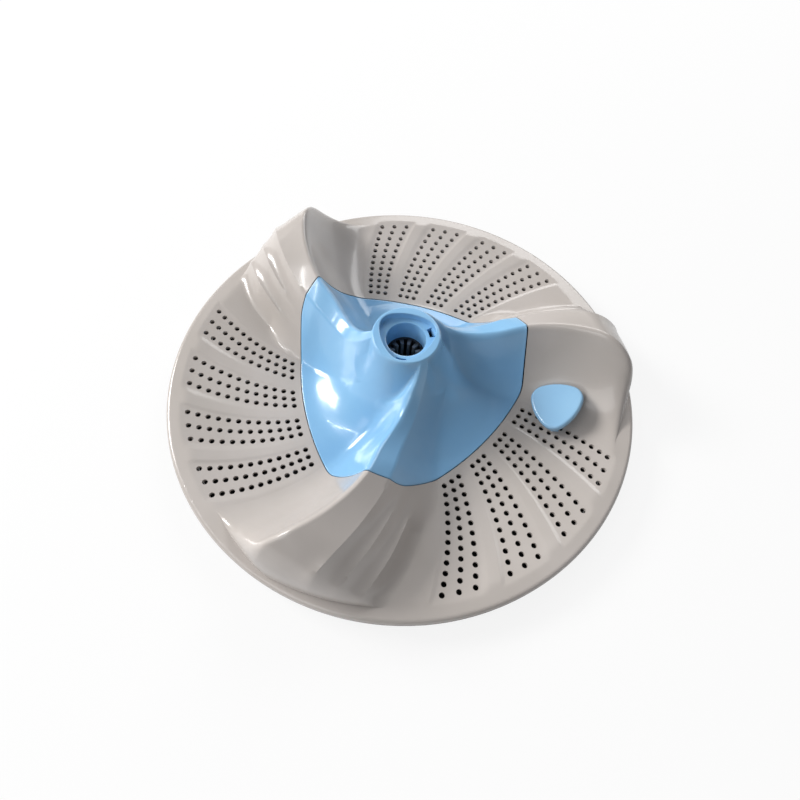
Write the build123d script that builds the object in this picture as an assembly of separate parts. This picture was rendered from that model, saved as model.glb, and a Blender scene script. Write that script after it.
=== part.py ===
from build123d import *
import os
from math import atan2, cos, degrees, hypot, radians, sin, sqrt

os.makedirs("parts", exist_ok=True)

# The low swirl disc of a top-loading washing machine, with its centre cover and loose cap.
# Lengths are millimetres, angles degrees, heights are above the surface that it stands on.
# The axis of the disc is Z, and all but the loose cap repeats three times round it.

# Shaft side: everything round the axis is built outwards from the tooth roots
teeth = 12
tooth_root_radius = 13.0
tooth_tip_radius = 8.2
tooth_half_angle = 7.0
first_tooth_angle = 16.0
insert_wall = 2.5
insert_radius = tooth_root_radius + insert_wall
insert_bottom = 22.0
pilot_radius = 9.5
pilot_length = 13.0
seat_width = 1.5
socket_radius = insert_radius - seat_width
boss_wall = 4.0
boss_radius = insert_radius + boss_wall
boss_bottom = 1.5
boss_top = 55.0

# Hub of the cover: the access bore, the recess round it for the cap, and the lip round that
access_radius = 14.45
lobe_radius = access_radius + 7.35
flat_radius = access_radius + 3.75
lobe_angle = 23.0
lobe_half_angle = 12.0
lobe_round = 11.0
hub_lip = 1.6
hub_flat_radius = lobe_radius + hub_lip
hub_height = 79.0
recess_depth = 5.7
ledge_height = hub_height - recess_depth
cover_wall = 2.2
tube_wall = 2.5
tube_gap = 0.3
clip_lobes = [0, 2]
clip_slot_radius = lobe_radius - 1.9
clip_slot_length = 7.0
clip_slot_width = 2.6
clip_slot_depth = 6.0

# Disc and its dish
thirds = 3
pitch = 360 / thirds
disc_radius = 185.0
rim_height = 21.4
rim_round = 3.5
rim_band = 13.5
lip_depth = 8.0
plate_wall = 2.5
dish_low = 9.5
dish_low_radius = 66.3
dish_curve = 462.0
dish_edge_radius = disc_radius - rim_band

# Seam between the disc and the cover: three round corners joined by flatter bows
seam_corner_radius = 98.6
seam_bow_radius = 82.2
corner_start_angle = 0.5
corner_end_angle = 33.0
seam_gap = 0.3
seam_overrun = 5.4
cover_reach = seam_corner_radius + seam_overrun

# Perforated troughs, which swirl as they run in; their floors are flatter bowls than the dish
trough_low = dish_low + 0.05
trough_low_radius = dish_low_radius + 3.8
trough_curve = dish_curve + 5.0
trough_floor_radius = dish_edge_radius + 0.5
trough_end_radius = disc_radius - 8.5
trough_start_radius = seam_bow_radius + 5.8
trough_corner = 4.0
trough_half_angle = 7.1
panels = 4
panel_pitch = 16.68
first_panel_angle = 96.85
row_pitch = 3.97
row_holes = 12
row_end_radius = disc_radius - 16.2
row_gap_to_seam = 7.1
swirl = 0.145
hole_radius = 2.0
hole_sides = 6

# Swirl vanes, and the ridges of the cover that run on from them: pairs of a radius and a value
crest_angle = [(26, 55), (40, 38), (57, 28), (75, 22.5), (98, 20.2), (125, 15.1), (150, 9.2), (180, 0.8)]
crest_height = [
    (access_radius, hub_height), (hub_flat_radius, hub_height), (hub_flat_radius + 3.6, hub_height - 3),
    (hub_flat_radius + 9.6, hub_height - 11), (hub_flat_radius + 16.6, hub_height - 20),
    (48, 53), (57, 51), (67, 51.5), (98, 58.2), (140, 68), (180, 74.3),
]
smooth_side_width = [(26, 48), (40, 35), (57, 28), (98, 25.2), (140, 22.2), (180, 16.5)]
shoulder_offset = [(26, 14), (57, 11), (85, 9.3), (98, 8), (140, 9), (180, 12.8)]
shoulder_drop = [(26, 1), (40, 4), (60, 6.3), (85, 6.5), (98, 8), (180, 8)]
plain_side_width = [(26, 52), (40, 33), (57, 26), (98, 22), (180, 20)]
crest_round = 6.0
smooth_side_power = 1.9
smooth_side_rise = 1.15
plain_side_power = 1.5
flutes = 3
flute_power = 1.7
flute_drop = 13.0
flute_width = 5.5
flute_foot_width = 17.0
flute_start_radius = 98.0
flute_full_radius = 125.0
nose_start_radius = disc_radius - 39.0
nose_radius = disc_radius - 4.5
nose_turns = [20, 38, 54, 68, 79, 87]
nose_middle_angle = 3.0
nose_lean_on = 0.2
nose_lean_back = 0.5
vane_length = nose_start_radius - seam_bow_radius
vane_radii = [seam_bow_radius + vane_length * i / 7 for i in range(8)]
vane_wall = 2.5
foot_sink = 0.5

# Between the ridges the cover is round: from the hub's lip down into the dish
valley_end_radius = 84.0
valley_height = [
    (access_radius, hub_height), (hub_flat_radius, hub_height), (hub_flat_radius + 1.6, hub_height - 2),
    (hub_flat_radius + 3.6, hub_height - 13), (hub_flat_radius + 6.6, hub_height - 23),
    (hub_flat_radius + 10.6, hub_height - 33), (hub_flat_radius + 16.6, hub_height - 44),
    (48, 25), (57, 18), (67, 13.2), (75, 10.7),
]
hub_foot_radius = 38.0
ridge_radii = [hub_flat_radius - 1.4, hub_flat_radius + 2.1, 29, 34, 41, 49, 58, 68, 80, 92, cover_reach]

# Shares of the way over a crest and down a flute at which the skins are drawn
climb = [0, 0.12, 0.26, 0.4, 0.55, 0.69, 0.81, 0.9, 0.97, 1.04, 1.13]
flute_places = [1 / 3, 2 / 3, 1]
shoulder_place = 1.35
flute_step = 0.12
flank_places = [shoulder_place + flute_step * i for i in range(flutes * len(flute_places) + 1)]
vane_places = [place / flank_places[-1] for place in climb + flank_places]

# Well, ring rib and ribs under the disc
well_floor_bottom = 4.5
well_floor_wall = 2.2
well_floor_top = well_floor_bottom + well_floor_wall
well_wall = 2.2
ring_rib_radius = disc_radius - 10.5
rib_wall = 2.4
rib_bottom = 3.0
rib_half_angle = 0.6
third_start_angle = 12.0

# Screws that hold the cover from below
screw_circle_radius = 55.0
screw_angle = 76.0
screw_radius = 1.8
screw_cover = 3.1
screw_head_radius = 4.0
screw_head_height = 2.4
screw_head_edge = 0.8
screw_recess_radius = 1.2
post_wall = 3.0
post_radius = screw_radius + post_wall
screw_gap = 0.3

# Cap, taken off and resting on the disc beside a vane
cap_gap = 0.35
cap_wall = 2.0
cap_height = recess_depth - 0.7
cap_edge = 0.8
cap_place_radius = 124.7
cap_place_angle = -7.4
cap_turn = 22.0
clip_leg_length = 5.5
clip_leg_width = 6.0
clip_leg_wall = 1.6
rest_gap = 0.3

# Longer than anything in the part, for cuts that go right through
beyond = disc_radius + hub_height


def through(stations, place):
    # A smooth curve through the stations, each a pair of a place and a value
    last = len(stations) - 1
    place = min(max(place, stations[0][0]), stations[last][0])
    n = max(i for i in range(last) if stations[i][0] <= place)
    (x0, y0), (x1, y1) = stations[n], stations[n + 1]

    def slope(i):
        before, after = stations[max(i - 1, 0)], stations[min(i + 1, last)]
        return (after[1] - before[1]) / (after[0] - before[0])

    t = (place - x0) / (x1 - x0)
    ends = y0 * (1 + 2 * t) * (1 - t) ** 2 + y1 * (3 - 2 * t) * t ** 2
    return ends + (x1 - x0) * (slope(n) * t * (1 - t) ** 2 - slope(n + 1) * (1 - t) * t ** 2)


def polar(radius, angle, height=0.0):
    return Vector(radius * cos(radians(angle)), radius * sin(radians(angle)), height)


def bowl(radius, low, low_radius, curve):
    return low + curve - sqrt(curve ** 2 - (radius - low_radius) ** 2)


def dish_top(radius):
    return min(bowl(radius, dish_low, dish_low_radius, dish_curve), rim_height)


def trough_top(radius):
    return bowl(radius, trough_low, trough_low_radius, trough_curve)


def turned(shape, step=pitch, count=thirds):
    return [Rot(0, 0, step * i) * shape for i in range(count)]


def below(face, depth=beyond):
    return Solid.extrude(face, (0, 0, -depth))


def standing(shape, bottom, top):
    face = shape.faces()[0].moved(Location((0, 0, bottom)))
    return Solid.extrude(face, (0, 0, top - bottom))


def spun(edges, arc=360.0):
    return revolve(Plane.XZ * make_face(edges), Axis.Z, revolution_arc=arc)


def ring(inner, outer, bottom, top):
    return Cylinder(outer, top - bottom).moved(Location((0, 0, (top + bottom) / 2))) - Cylinder(
        inner, 2 * beyond
    )


# Vane and ridge form: one section at each radius, shared by the disc and the cover

def ground(radius):
    if radius >= valley_end_radius:
        return dish_top(radius)
    return through(valley_height + [(valley_end_radius, dish_top(valley_end_radius))], radius)


def soft_least(a, b, blend):
    near = max(blend - abs(a - b), 0) / blend
    return min(a, b) - near ** 2 * blend / 4


def climb_side(radius, base):
    # From the foot of the smooth side over the crest to the shoulder
    width, offset = through(smooth_side_width, radius), through(shoulder_offset, radius)
    crest, top = through(crest_angle, radius), through(crest_height, radius)
    drop = through(shoulder_drop, radius)
    points = []
    for share in climb:
        side = base + smooth_side_rise * (top - base) * share ** smooth_side_power
        band = top - drop * (share - 1) * width / offset
        points.append((crest + (share - 1) * width, soft_least(side, band, crest_round)))
    return points + [(crest + offset, top - drop)]


def flank_sides(radius, base, shoulder):
    # The stepped side: three flutes outside the seam, which run out into a plain side within it
    angle, height = shoulder
    fluted = min(max((radius - flute_start_radius) / (flute_full_radius - flute_start_radius), 0), 1)
    width = through(plain_side_width, radius)
    foot = width + (flute_foot_width - width) * fluted
    edges = [flute_width * i for i in range(flutes)] + [foot]
    levels = [height - flute_drop * i for i in range(flutes)] + [base]
    points = []
    for i in range(flutes):
        for share in flute_places:
            at = edges[i] + (edges[i + 1] - edges[i]) * share
            plain = base + (height - base) * max(1 - at / width, 0) ** plain_side_power
            flute = levels[i + 1] + (levels[i] - levels[i + 1]) * (1 - share) ** flute_power
            points.append((angle + at, plain + (flute - plain) * fluted))
    return points


def section(radius, base=None):
    # Pairs of an angle and a height, from one foot of the ridge to the other
    base = ground(radius) if base is None else base
    points = climb_side(radius, base)
    return base, points + flank_sides(radius, base, points[-1])


def nose_reach(angle):
    beside = angle - nose_middle_angle
    return nose_radius - nose_lean_on * max(beside, 0) - nose_lean_back * max(-beside, 0)


def vane_row(radius, turn=0.0):
    # Past the start of the nose a row is given by its turn, from 0 up to 90 at the tip
    if turn:
        radius = nose_start_radius + (nose_radius - nose_start_radius) * sin(radians(turn))
    base, points = section(radius)
    row = []
    for angle, height in points:
        rise = (height - base) * cos(radians(turn))
        reach = (nose_reach(angle) - nose_start_radius) * sin(radians(turn))
        out = nose_start_radius + reach if turn else radius
        row.append(polar(out, angle, ground(out) + rise - foot_sink / (1 + rise)))
    return row


def ridge_row(radius):
    # Near the hub the ridge starts from below its skin, so that its sides run into the hub
    base, points = section(radius, ground(max(radius, hub_foot_radius)))
    row = []
    for angle, height in points:
        rise = height - base
        row.append(polar(radius, angle, base + rise - foot_sink / (1 + rise)))
    return row


def inner_rows(rows, wall):
    # Each point is moved in by the wall, square to the skin as its neighbours give it
    last = len(rows) - 1
    result = []
    for i, row in enumerate(rows):
        before, after = rows[max(i - 1, 0)], rows[min(i + 1, last)]
        line = []
        for j, point in enumerate(row):
            left, right = row[max(j - 1, 0)], row[min(j + 1, len(row) - 1)]
            across = (right - left).cross(after[j] - before[j]).normalized()
            line.append(point - across * (wall if across.Z > 0 else -wall))
        result.append(line)
    return result


def block_under(rows, places):
    # The solid under a smooth skin through rows of points, down past everything else
    curves = [Edge.make_spline(row, parameters=places) for row in rows]
    return below(Shell.make_loft([Wire([curve]) for curve in curves]).faces()[0])


def three_corner_face(corner_radius, bow_radius, start, end):
    # Round corners about the axis, joined by flatter bows
    edges = []
    for i in range(thirds):
        first, last = start + pitch * i, end + pitch * i
        middle = (last + start + pitch * (i + 1)) / 2
        corner = [polar(corner_radius, a) for a in (first, (first + last) / 2, last)]
        edges.append(ThreePointArc(*corner))
        edges.append(ThreePointArc(corner[2], polar(bow_radius, middle), polar(corner_radius, first + pitch)))
    return make_face(edges)


def seam_face(grow=0.0):
    return three_corner_face(
        seam_corner_radius + grow, seam_bow_radius + grow, corner_start_angle, corner_end_angle
    )


def seam_radius(angle):
    # Where a ray from the axis meets the bow between two corners
    half = (corner_start_angle + pitch - corner_end_angle) / 2
    across = seam_corner_radius * sin(radians(half))
    rise = seam_bow_radius - seam_corner_radius * cos(radians(half))
    bow = (across ** 2 + rise ** 2) / (2 * rise)
    behind = bow - seam_bow_radius
    turn = radians(angle - corner_end_angle - half)
    return sqrt(bow ** 2 - (behind * sin(turn)) ** 2) - behind * cos(turn)


# Disc

def dish_edges(drop):
    # The dish from near the axis to the rim, lowered by a drop
    inner = seam_bow_radius - well_wall
    middle = (inner + dish_edge_radius) / 2
    arc = ThreePointArc(*[(r, dish_top(r) - drop) for r in (inner, middle, dish_edge_radius)])
    return [arc, Line(arc @ 1, (disc_radius - rim_round, rim_height - drop))]


def plate_face_edges():
    top, under = dish_edges(0), dish_edges(plate_wall)
    side = disc_radius - plate_wall
    lip = rim_height - lip_depth
    top_round = RadiusArc(top[1] @ 1, (disc_radius, rim_height - rim_round), rim_round)
    under_round = RadiusArc(
        under[1] @ 1, (side, rim_height - rim_round), rim_round - plate_wall
    )
    edges = top + under + [top_round, under_round]
    edges += [Line(top_round @ 1, (disc_radius, lip)), Line((disc_radius, lip), (side, lip))]
    edges += [Line((side, lip), under_round @ 1), Line(under[0] @ 0, top[0] @ 0)]
    return edges


def swirl_edge(angle, start, end):
    # One side of a trough or rib; its angle is that at the outer end of the hole rows
    radii = [start + (end - start) * i / 4 for i in range(5)]
    return Spline(*[polar(r, angle + swirl * (row_end_radius - r)) for r in radii])


def swirl_face(first, last, start, end):
    low, high = swirl_edge(first, start, end), swirl_edge(last, start, end)
    return make_face([low, high, Line(low @ 0, high @ 0), Line(low @ 1, high @ 1)])


def trough_cutters():
    # The space over the trough floors, cut to the outline of each panel
    inner, outer = trough_start_radius, trough_floor_radius
    floor = ThreePointArc(*[(r, trough_top(r)) for r in (inner, (inner + outer) / 2, outer)])
    flat = Line(floor @ 1, (disc_radius, trough_top(outer)))
    side = Line(flat @ 1, (disc_radius, hub_height))
    edges = [floor, flat, side, Line(side @ 1, (inner, hub_height)), Line((inner, hub_height), floor @ 0)]
    space = spun(edges)
    cutters = []
    for i in range(panels):
        middle = first_panel_angle - panel_pitch * i
        face = swirl_face(
            middle - trough_half_angle, middle + trough_half_angle, trough_start_radius, trough_end_radius
        )
        outer = face.vertices().sort_by(lambda v: hypot(v.X, v.Y))[-2:]
        cutters.append(standing(fillet(outer, trough_corner), 0, hub_height) & space)
    return cutters


def hole_prisms():
    prisms = []
    for panel in range(panels):
        for row in (1, 0, -1):
            angle = first_panel_angle - panel_pitch * panel + row_pitch * row
            inner_angle = angle + swirl * (row_end_radius - seam_radius(angle))
            start = seam_radius(inner_angle) + row_gap_to_seam
            for i in range(row_holes):
                out = row_end_radius + (start - row_end_radius) * i / (row_holes - 1)
                turn = angle + swirl * (row_end_radius - out)
                place = Location(polar(out, turn), (0, 0, turn))
                prisms.append(standing(place * RegularPolygon(hole_radius, hole_sides), 0, hub_height))
    return prisms


def perforated_third():
    plate = Rot(0, 0, third_start_angle) * spun(plate_face_edges(), pitch)
    return plate - trough_cutters() - hole_prisms()


def vane_rows():
    return [vane_row(r) for r in vane_radii] + [vane_row(0, t) for t in nose_turns]


def space_under(drop):
    # The space under the dish lowered by a drop, down past everything
    edges = dish_edges(drop)
    inner, outer = edges[0] @ 0, edges[1] @ 1
    low = [Vector(inner.X, -beyond), Vector(outer.X, -beyond)]
    return spun(edges + [Line(outer, low[1]), Line(low[1], low[0]), Line(low[0], inner)])


def space_over(drop):
    edges = dish_edges(drop)
    inner, outer = edges[0] @ 0, edges[1] @ 1
    high = [Vector(inner.X, beyond), Vector(outer.X, beyond)]
    return spun(edges + [Line(outer, high[1]), Line(high[1], high[0]), Line(high[0], inner)])


def vane_solids(well_inside, well_outside):
    # The solid vane and the hollow inside it, which opens downwards
    rows = vane_rows()
    sparse = [row[::2] for row in rows[:-1]]
    hollow = block_under(inner_rows(sparse, vane_wall), vane_places[::2])
    beneath = standing(Circle(disc_radius), -2 * beyond, well_floor_bottom)
    block = block_under(rows, vane_places)
    block = block - (space_under(plate_wall) - well_outside) - beneath - well_inside
    return block, hollow - well_outside


def swirl_ribs():
    # Ribs under the dish between the panels, so that no rib crosses a hole
    over = space_over(plate_wall / 2)
    well_inside = standing(seam_face(well_wall / 2), well_floor_bottom, beyond)
    ribs = []
    for i in range(panels - 1):
        middle = first_panel_angle - panel_pitch * (i + 0.5)
        face = swirl_face(
            middle - rib_half_angle, middle + rib_half_angle, seam_bow_radius, ring_rib_radius - rib_wall / 2
        )
        rib = standing(face, rib_bottom, beyond) - [over, well_inside]
        inner_angle = middle + swirl * (row_end_radius - seam_bow_radius)
        start, end = boss_radius - rib_wall / 2, seam_bow_radius + rib_wall
        bar = Rectangle(end - start, rib_wall).moved(Location(((start + end) / 2, 0)))
        bar = standing(bar, rib_bottom, well_floor_bottom + well_floor_wall / 2)
        ribs += turned(rib) + turned(Rot(0, 0, inner_angle) * bar)
    return ribs


def make_hub():
    edges = Polyline(
        (socket_radius, boss_bottom), (boss_radius, boss_bottom), (boss_radius, boss_top),
        (insert_radius, boss_top), (insert_radius, insert_bottom), (socket_radius, insert_bottom),
        (socket_radius, boss_bottom),
    )
    return spun(edges)


def make_well(well_inside):
    well = standing(seam_face(well_wall), well_floor_bottom, dish_low - plate_wall / 4) - well_inside
    well = well - standing(Circle(boss_radius - well_wall / 2), -beyond, beyond)
    return well - at_screws(standing(Circle(screw_radius + screw_gap), -beyond, beyond))


def make_disc():
    well_inside = standing(seam_face(), well_floor_top, beyond)
    well_outside = standing(seam_face(well_wall), well_floor_bottom, beyond)
    vane, hollow = vane_solids(well_inside, well_outside)
    vane = vane - hollow
    third = perforated_third() - [hollow, Rot(0, 0, pitch) * hollow, well_inside]
    ring_rib = ring(ring_rib_radius - rib_wall, ring_rib_radius, 0, dish_top(ring_rib_radius) - plate_wall / 2)
    pieces = turned(third) + turned(vane) + swirl_ribs() + [make_hub(), make_well(well_inside), ring_rib]
    return pieces[0].fuse(*pieces[1:])


# Insert

def make_insert():
    top = insert_bottom + pilot_length
    body = standing(Circle(insert_radius), insert_bottom, boss_top)
    body = body - standing(Circle(pilot_radius), insert_bottom, top)
    radii = [tooth_tip_radius, insert_radius, insert_radius, tooth_tip_radius]
    sides = [-tooth_half_angle, -tooth_half_angle, tooth_half_angle, tooth_half_angle]
    corners = [polar(radius, side) for radius, side in zip(radii, sides)]
    tooth = Rot(0, 0, first_tooth_angle) * make_face(Polyline(*corners, close=True))
    room = Circle(tooth_root_radius) - turned(tooth, 360 / teeth, teeth)
    return body - standing(room, top, boss_top)


# Cover

def valley_block(drop=0.0):
    # The round form of the cover between its ridges, from the hub down to the seam
    valley_radii = [radius for radius, height in valley_height[2:]]
    valley_radii += [valley_end_radius, (valley_end_radius + cover_reach) / 2, cover_reach]
    last = len(valley_radii) - 1
    points = [(hub_flat_radius - drop, hub_height - drop)]
    for i, radius in enumerate(valley_radii):
        before, after = valley_radii[max(i - 1, 0)], valley_radii[min(i + 1, last)]
        fall, run = ground(after) - ground(before), after - before
        length = hypot(fall, run)
        points.append((radius + drop * fall / length, ground(radius) - drop * run / length))
    skin = Spline(*points)
    low = Line(skin @ 1, ((skin @ 1).X, -beyond))
    base, axis = Line(low @ 1, (0, -beyond)), Line((0, -beyond), (0, points[0][1]))
    return spun([skin, low, base, axis, Line(axis @ 1, skin @ 0)])


def lobed_face(gap=0.0, angle=0.0):
    # The rounded triangle shared by the recess and the cap, drawn in by a gap
    start, end = angle - lobe_half_angle, angle + lobe_half_angle
    face = three_corner_face(lobe_radius - gap, flat_radius - gap, start, end)
    return fillet(face.vertices(), lobe_round - gap)


def cover_shell(outer):
    # The outer form, hollowed by the same form moved in by the wall
    rows = [ridge_row(radius) for radius in ridge_radii]
    sparse = inner_rows([row[::4] for row in rows[2::2]], cover_wall)
    return outer - [valley_block(cover_wall)] - turned(block_under(sparse, vane_places[::4]))


def at_screws(shape):
    return turned(Location(polar(screw_circle_radius, screw_angle)) * shape)


def screw_top():
    return ground(screw_circle_radius) - screw_cover


def make_cover():
    ridge = block_under([ridge_row(radius) for radius in ridge_radii], vane_places)
    within = standing(seam_face(-seam_gap), well_floor_top, beyond)
    outer = (valley_block() & within).fuse(*[part & within for part in turned(ridge)])
    posts = [post & outer for post in at_screws(standing(Circle(post_radius), well_floor_top, beyond))]
    cup = standing(lobed_face(-cover_wall, lobe_angle), ledge_height - cover_wall, hub_height - cover_wall / 2)
    tube = ring(access_radius, access_radius + tube_wall, boss_top + tube_gap, ledge_height)
    cover = cover_shell(outer).fuse(*posts).fuse(cup).fuse(tube)
    slot = Rectangle(clip_slot_width, clip_slot_length).moved(Location((clip_slot_radius, 0)))
    slot = standing(slot, ledge_height - clip_slot_depth, hub_height)
    cover = cover - standing(lobed_face(0, lobe_angle), ledge_height, beyond)
    cover = cover - standing(Circle(access_radius), 0, beyond)
    cover = cover - [Rot(0, 0, lobe_angle + pitch * i) * slot for i in clip_lobes]
    return cover - at_screws(standing(Circle(screw_radius), 0, screw_top()))


# Screws

def make_screws():
    bottom = well_floor_bottom - screw_head_height
    head = standing(Circle(screw_head_radius), bottom, well_floor_bottom)
    head = chamfer(head.edges().group_by(Axis.Z)[0], screw_head_edge)
    shank = standing(Circle(screw_radius), well_floor_bottom, screw_top())
    recess = standing(RegularPolygon(screw_recess_radius, 6), bottom, bottom + screw_head_height / 2)
    return Compound(children=at_screws(head + shank - recess))


# Cap

def skin_height(point):
    # The height of the disc's skin under a point outside the seam
    radius = hypot(point.X, point.Y)
    base, points = section(radius)
    angle = (degrees(atan2(point.Y, point.X)) - points[0][0]) % pitch + points[0][0]
    for (a0, h0), (a1, h1) in zip(points, points[1:]):
        if a0 <= angle <= a1:
            return h0 + (h1 - h0) * (angle - a0) / (a1 - a0)
    return base


def cap_plane():
    # The cap rests on its two clips and on its third corner, clear of the skin all round
    centre = polar(cap_place_radius, cap_place_angle)
    feet = []
    for i in range(thirds):
        foot = centre + polar(clip_slot_radius - cap_gap, cap_turn + pitch * i)
        lift = clip_leg_length if i in clip_lobes else 0
        feet.append(Vector(foot.X, foot.Y, skin_height(foot) + lift))
    middle = (feet[0] + feet[1] + feet[2]) / 3
    up = (feet[1] - feet[0]).cross(feet[2] - feet[0]).normalized()
    plane = Plane(middle, x_dir=feet[0] - middle, z_dir=up)
    low_points = [edge @ (i / 4) for edge in lobed_face(cap_gap).edges() for i in range(4)]
    for i in clip_lobes:
        for side in (-1, 1):
            foot = Vector(clip_slot_radius - cap_gap, side * clip_leg_width / 2, -clip_leg_length)
            low_points.append(foot.rotate(Axis.Z, pitch * i))
    places = [plane.from_local_coords(point) for point in low_points]
    lift = max(skin_height(place) - place.Z for place in places)
    return plane.offset(lift * up.Z + rest_gap)


def make_cap():
    cap = standing(lobed_face(cap_gap), 0, cap_height)
    cap = fillet(cap.edges().group_by(Axis.Z)[-1], cap_edge)
    cap = cap - standing(lobed_face(cap_gap + cap_wall), 0, cap_height - cap_wall)
    leg = Rectangle(clip_leg_wall, clip_leg_width).moved(Location((clip_slot_radius - cap_gap, 0)))
    leg = standing(leg, -clip_leg_length, cap_height - cap_wall)
    legs = [Rot(0, 0, pitch * i) * leg for i in clip_lobes]
    return cap_plane() * cap.fuse(*legs)


nodes = {
    "pulsator_disc": make_disc,
    "drive_insert": make_insert,
    "centre_cover": make_cover,
    "cover_screws": make_screws,
    "cap": make_cap,
}
for name, make in nodes.items():
    export_step(make(), f"parts/{name}.step")
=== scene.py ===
import bpy
import bmesh
from math import atan2, cos, degrees, hypot, radians, sin, sqrt
from mathutils import Matrix, Vector


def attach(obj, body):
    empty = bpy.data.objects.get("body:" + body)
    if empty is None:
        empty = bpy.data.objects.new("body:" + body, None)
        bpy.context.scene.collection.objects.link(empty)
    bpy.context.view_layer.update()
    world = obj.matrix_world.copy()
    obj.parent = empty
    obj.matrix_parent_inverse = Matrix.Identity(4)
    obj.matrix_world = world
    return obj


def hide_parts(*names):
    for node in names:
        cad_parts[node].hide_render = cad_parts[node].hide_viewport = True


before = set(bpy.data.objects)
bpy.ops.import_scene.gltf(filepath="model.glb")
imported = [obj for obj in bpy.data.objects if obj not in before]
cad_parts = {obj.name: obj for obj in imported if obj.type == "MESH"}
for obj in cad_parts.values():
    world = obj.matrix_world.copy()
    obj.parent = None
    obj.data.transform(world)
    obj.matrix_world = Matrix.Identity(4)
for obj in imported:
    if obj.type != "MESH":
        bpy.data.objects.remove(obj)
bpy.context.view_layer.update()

mm = 0.001


# Nodes: expressions on sockets, and one method that makes any node
class Shade:
    def __init__(self, tree, socket):
        self.tree, self.socket = tree, socket

    def maths(self, operation, first, second):
        return self.tree.node("ShaderNodeMath", {"operation": operation}, {0: first, 1: second})

    def other(self, name):
        # Another output of the same node
        return Shade(self.tree, self.socket.node.outputs[name])

    def __add__(self, other): return self.maths("ADD", self, other)
    def __radd__(self, other): return self.maths("ADD", other, self)
    def __sub__(self, other): return self.maths("SUBTRACT", self, other)
    def __rsub__(self, other): return self.maths("SUBTRACT", other, self)
    def __mul__(self, other): return self.maths("MULTIPLY", self, other)
    def __rmul__(self, other): return self.maths("MULTIPLY", other, self)
    def __pow__(self, other): return self.maths("POWER", self, other)


class Finish:
    # A material and its node tree
    def __init__(self, name):
        self.material = bpy.data.materials.new(name)
        self.material.use_nodes = True
        self.nodes, self.links = self.material.node_tree.nodes, self.material.node_tree.links
        self.shader = self.nodes["Principled BSDF"]

    def node(self, kind, settings=None, inputs=None, output=0):
        made = self.nodes.new(kind)
        for key, value in (settings or {}).items():
            setattr(made, key, value)
        for key, value in (inputs or {}).items():
            self.feed(made.inputs[key], value)
        return Shade(self, made.outputs[output])

    def feed(self, socket, value):
        if isinstance(value, Shade):
            self.links.new(value.socket, socket)
        else:
            socket.default_value = value

    def set(self, **sockets):
        for key, value in sockets.items():
            self.feed(self.shader.inputs[key.replace("_", " ")], value)
        return self

    def place(self):
        return self.node("ShaderNodeTexCoord", output="Object")

    def noise(self, scale, detail):
        return self.node("ShaderNodeTexNoise", {}, {
            "Vector": self.place(), "Scale": scale, "Detail": detail})

    def spread(self, value, zeroAt, oneAt):
        # The value stretched to run from 0 to 1, and no further
        return self.node("ShaderNodeMapRange", {}, {"Value": value, "From Min": zeroAt, "From Max": oneAt})

    def mix(self, factor, first, second):
        return self.node("ShaderNodeMix", {"data_type": "RGBA"}, {
            "Factor": factor, "A": first, "B": second}, output="Result")


def linear(red, green, blue):
    # A colour as seen on a screen, 0 to 255, made linear
    return tuple(((v / 255 + 0.055) / 1.055) ** 2.4 for v in (red, green, blue)) + (1.0,)


# Form shared by the disc and the cover, in millimetres and degrees, heights above the floor.
# A list of pairs gives a value at each radius. The sections across a vane or ridge come from these lists.
form = {
    "pitch": 120.0, "discRadius": 185.0, "rimHeight": 21.4, "rimRound": 3.5, "lipDepth": 8.0,
    "plateWall": 2.5, "dishLow": 9.5, "dishLowRadius": 66.3, "dishCurve": 462.0, "dishBlend": 0.5,
    "seamCorner": 98.6, "seamBow": 82.2, "cornerStart": 0.5, "cornerEnd": 33.0, "seamGap": 0.65,
    "seamBlend": 2.2, "hubHeight": 79.0, "hubFlat": 23.4, "hubFoot": 38.0, "valleyEnd": 84.0,
    "valley": [(14, 79), (23.4, 79), (25, 77), (27, 66), (30, 56), (34, 46), (40, 35), (48, 25),
               (57, 18), (67, 13.2), (75, 10.7)],
    "crestAngle": [(26, 55), (40, 38), (57, 28), (75, 22.5), (98, 20.2), (125, 15.1), (150, 9.2),
                   (180, 0.8)],
    "crestHeight": [(14, 79), (23.4, 79), (27, 76), (33, 68), (40, 59), (48, 53), (57, 51), (67, 51.5),
                    (98, 58.2), (140, 68), (180, 74.3)],
    "crestRound": [(40, 13), (60, 12), (85, 8), (180, 8)],
    "smoothWidth": [(26, 48), (40, 35), (57, 28), (98, 25.2), (140, 22.2), (180, 16.5)],
    "smoothPower": 1.9, "smoothRise": 1.15,
    "climbShares": [0.07 * i for i in range(13)] + [0.86 + 0.02 * i for i in range(10)],
    "pastCrest": 0.04, "bandShare": 0.6, "bandSteps": 3,
    "shoulderOffset": [(26, 14), (57, 11), (85, 9.3), (98, 8), (140, 9), (180, 12.8)],
    "shoulderDrop": [(26, 1), (40, 4), (60, 6.3), (85, 6.5), (98, 8), (180, 8)],
    "shoulderShares": (0.75, 0.88, 1.0),
    "plainWidth": [(26, 52), (40, 33), (57, 26), (98, 22), (180, 20)], "plainPower": 1.5,
    "fluteDrop": 13.0, "fluteWidth": 5.5, "fluteFoot": 17.0, "flutePower": 1.7, "fluteSteps": 7,
    "fluteStart": 98.0, "fluteFull": 125.0, "noseStart": 146.0, "noseReach": 180.5,
}


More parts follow.
